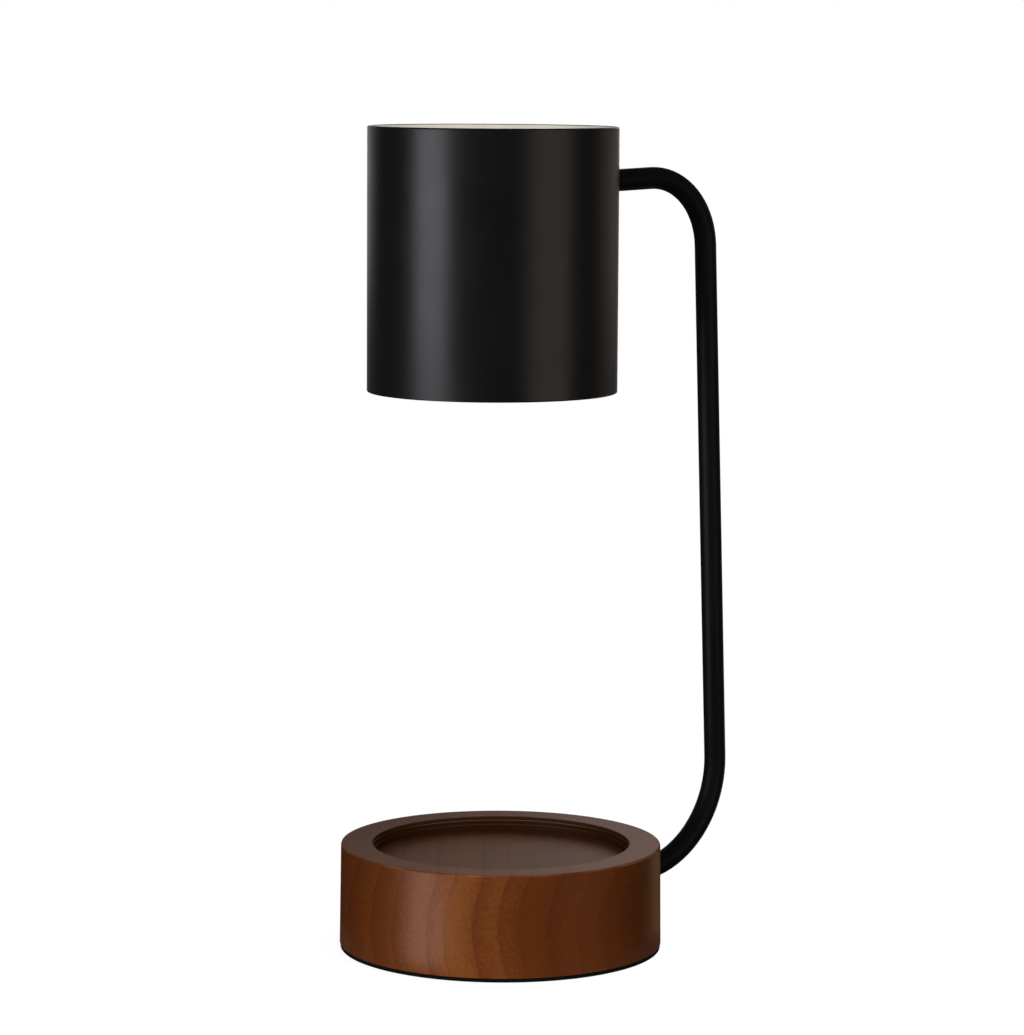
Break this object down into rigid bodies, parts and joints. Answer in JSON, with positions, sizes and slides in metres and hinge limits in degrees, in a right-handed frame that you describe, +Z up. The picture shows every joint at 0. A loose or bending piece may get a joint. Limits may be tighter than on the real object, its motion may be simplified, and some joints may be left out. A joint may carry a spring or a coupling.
{
  "type": "candle warmer lamp",
  "caption": "Candle warmer lamp: a bent tube on a round wooden base holds a drum shade with a reflector bulb over a recess for a jar candle.",
  "frame": {"origin": "centre of the base's underside, on the surface that the lamp stands on", "axes": "+Z up; +X from the base's axis to the arm; +Y to the back, where the cord leaves"},
  "size_m": [0.1865, 0.1301, 0.3302],
  "materials": {
    "walnut_wood": "satin lacquer over turned wood",
    "black_foam": "fine closed-cell foam",
    "black_paint": "satin powder coat",
    "zinc_steel": "bright zinc plate",
    "raw_iron": "as cast",
    "brass": "turned",
    "white_nylon": "moulded",
    "black_nylon": "moulded",
    "brown_silicone": "smooth",
    "blue_silicone": "smooth",
    "green_yellow_silicone": "smooth",
    "steatite": "unglazed",
    "contact_copper": "rolled strip",
    "coated_glass": "aluminised inside",
    "clear_glass": "polished",
    "tungsten": "drawn wire"
  },
  "bodies": {
    "lamp": {"wood_base": "walnut_wood", "base_pad": "black_foam", "bottom_plate": "zinc_steel", "bottom_plate_screws": "zinc_steel", "counterweight": "raw_iron", "counterweight_screws": "zinc_steel", "arm_set_screw": "zinc_steel", "cord_gland": "black_nylon", "arm_base_washer": "zinc_steel", "arm_base_lock_washer": "zinc_steel", "earth_tag": "brass", "arm_base_nut": "zinc_steel", "terminal_block": "white_nylon", "terminal_inserts": "brass", "terminal_clamp_screws": "zinc_steel", "terminal_block_screw": "zinc_steel", "arm_tube": "black_paint", "shade": "black_paint", "outer_saddle_washer": "black_nylon", "inner_saddle_washer": "black_nylon", "arm_shade_lock_washer": "zinc_steel", "arm_shade_nut": "zinc_steel", "holder_bracket": "zinc_steel", "lampholder_screws": "zinc_steel", "lampholder_nuts": "zinc_steel", "lampholder_body": "steatite", "lampholder_cover": "steatite", "lampholder_contacts": "contact_copper", "live_wire": "brown_silicone", "neutral_wire": "blue_silicone", "earth_wire": "green_yellow_silicone"},
    "bulb": {"bulb_base": "steatite", "bulb_pins": "zinc_steel", "bulb_reflector": "coated_glass", "bulb_lens": "clear_glass", "bulb_capsule": "clear_glass", "bulb_filament": "tungsten", "bulb_leads": "tungsten"}
  },
  "joints": [
    {"name": "bulb_twist", "type": "hinge", "parent": "lamp", "child": "bulb", "pos_m": [-0.0058, 0, 0.2925], "axis": [0, 0, 1], "range_deg": [-30, 0]}
  ]
}
